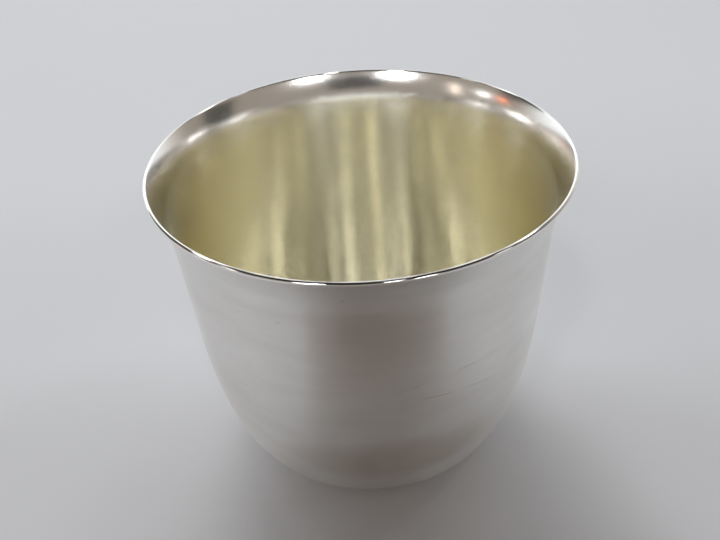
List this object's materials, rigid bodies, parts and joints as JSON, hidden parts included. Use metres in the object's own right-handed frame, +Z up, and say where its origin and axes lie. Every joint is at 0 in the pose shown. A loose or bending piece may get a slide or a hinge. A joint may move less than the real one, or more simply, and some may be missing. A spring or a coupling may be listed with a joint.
{
  "type": "jefferson cup",
  "caption": "Low, straight-sided drinking cup of spun silver with a rounded turn to the floor, a plain flared lip and a gilt inside. It stands free on a flat ring.",
  "frame": {"origin": "centre of the flat standing ring, on the surface that the cup stands on", "axes": "+Z up along the cup's axis; the cup is the same all round, so X and Y are free"},
  "size_m": [0.0826, 0.0826, 0.0698],
  "materials": {
    "silver": "satin-polished sterling silver, mirror-bright on the lip and inside the flare, with fine spinning lines and light handling marks",
    "gilding": "pale gold wash, satin, with soft upright streaks"
  },
  "bodies": {
    "root": {"silver_shell": "silver", "gilt_lining": "gilding"}
  },
  "joints": []
}
